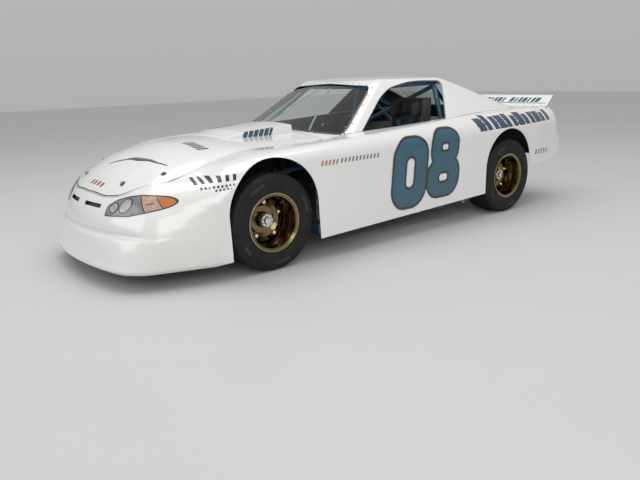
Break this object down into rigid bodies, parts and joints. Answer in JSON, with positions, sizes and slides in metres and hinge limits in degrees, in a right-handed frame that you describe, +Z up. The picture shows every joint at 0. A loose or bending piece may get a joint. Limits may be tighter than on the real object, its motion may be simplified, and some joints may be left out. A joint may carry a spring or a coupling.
{
  "type": "full-body stock car",
  "caption": "Full-size late model stock car with tube frame, roll cage, slick tyres, steered front wheels, hinged hood and deck lid.",
  "frame": {"origin": "on the floor under the middle of the car", "axes": "+X to the nose, +Y to the driver's left, +Z up"},
  "size_m": [4.8078, 1.91, 1.28],
  "materials": {
    "body_paint": "gloss white",
    "nose_plastic": "gloss white",
    "window_glass": "clear",
    "lamp_lens": "gloss",
    "tube_paint": "satin blue",
    "black_paint": "satin",
    "bare_sheet": "brushed",
    "cast_block": "painted",
    "cast_case": "cast",
    "plain_steel": "satin",
    "wheel_finish": "gold",
    "tyre_rubber": "matt",
    "seat_shell": "covered",
    "spoiler_plastic": "clear tinted"
  },
  "bodies": {
    "chassis": {"coilovers": "black_paint", "cowl": "body_paint", "dash": "bare_sheet", "door_left": "body_paint", "door_right": "body_paint", "drive_shaft": "plain_steel", "engine": "cast_block", "exhaust": "plain_steel", "fender_left": "body_paint", "fender_right": "body_paint", "floor_pan": "bare_sheet", "frame": "tube_paint", "front_arms": "black_paint", "fuel_cell": "black_paint", "gearbox": "cast_case", "headlamps": "lamp_lens", "main_hoop": "tube_paint", "nose": "nose_plastic", "quarter_left": "body_paint", "quarter_right": "body_paint", "radiator": "bare_sheet", "rear_axle": "black_paint", "rear_links": "plain_steel", "rear_window": "window_glass", "roll_cage": "tube_paint", "roof": "body_paint", "seat": "seat_shell", "spoiler": "spoiler_plastic", "steering_gear": "plain_steel", "tail_cover": "nose_plastic", "windshield": "window_glass"},
    "hood_panel": {"hood": "body_paint", "scoop": "body_paint"},
    "deck_panel": {"deck_lid": "body_paint"},
    "steer_left": {"knuckle_left": "black_paint"},
    "steer_right": {"knuckle_right": "black_paint"},
    "steer_rods": {"tie_rods": "plain_steel"},
    "hand_wheel": {"steering_wheel": "plain_steel"},
    "wheel_fl": {"wheel_front_left": "wheel_finish", "tyre_front_left": "tyre_rubber"},
    "wheel_fr": {"wheel_front_right": "wheel_finish", "tyre_front_right": "tyre_rubber"},
    "wheel_rl": {"wheel_rear_left": "wheel_finish", "tyre_rear_left": "tyre_rubber"},
    "wheel_rr": {"wheel_rear_right": "wheel_finish", "tyre_rear_right": "tyre_rubber"}
  },
  "joints": [
    {"name": "hood_hinge", "type": "hinge", "parent": "chassis", "child": "hood_panel", "pos_m": [0.626, 0, 0.877], "axis": [0, -1, 0], "range_deg": [0, 60]},
    {"name": "deck_hinge", "type": "hinge", "parent": "chassis", "child": "deck_panel", "pos_m": [-1.775, 0, 0.955], "axis": [0, 1, 0], "range_deg": [0, 70]},
    {"name": "steer", "type": "hinge", "parent": "chassis", "child": "steer_left", "pos_m": [1.298, 0.66, 0.342], "axis": [0, 0, 1], "range_deg": [-22, 22]},
    {"name": "steer_other_side", "type": "hinge", "parent": "chassis", "child": "steer_right", "pos_m": [1.298, -0.66, 0.342], "axis": [0, 0, 1], "range_deg": [-23, 23]},
    {"name": "rack", "type": "slide", "parent": "chassis", "child": "steer_rods", "axis": [0, 1, 0], "range_m": [-0.052, 0.052]},
    {"name": "hand_wheel_turn", "type": "hinge", "parent": "chassis", "child": "hand_wheel", "pos_m": [0.053, 0.365, 0.79], "axis": [-0.9641, 0, 0.2654], "range_deg": [-180, 180]},
    {"name": "spin_fl", "type": "hinge", "parent": "steer_left", "child": "wheel_fl", "pos_m": [1.298, 0.8, 0.342], "axis": [0, 1, 0], "continuous": true},
    {"name": "spin_fr", "type": "hinge", "parent": "steer_right", "child": "wheel_fr", "pos_m": [1.298, -0.8, 0.342], "axis": [0, 1, 0], "continuous": true},
    {"name": "spin_rl", "type": "hinge", "parent": "chassis", "child": "wheel_rl", "pos_m": [-1.369, 0.8, 0.342], "axis": [0, 1, 0], "continuous": true},
    {"name": "spin_rr", "type": "hinge", "parent": "chassis", "child": "wheel_rr", "pos_m": [-1.369, -0.8, 0.342], "axis": [0, 1, 0], "continuous": true}
  ],
  "couplings": [
    {"joint": "steer_other_side", "follows": "steer", "ratio": 1},
    {"joint": "rack", "follows": "steer", "m_per_rad": 0.132},
    {"joint": "hand_wheel_turn", "follows": "steer", "ratio": 8}
  ]
}
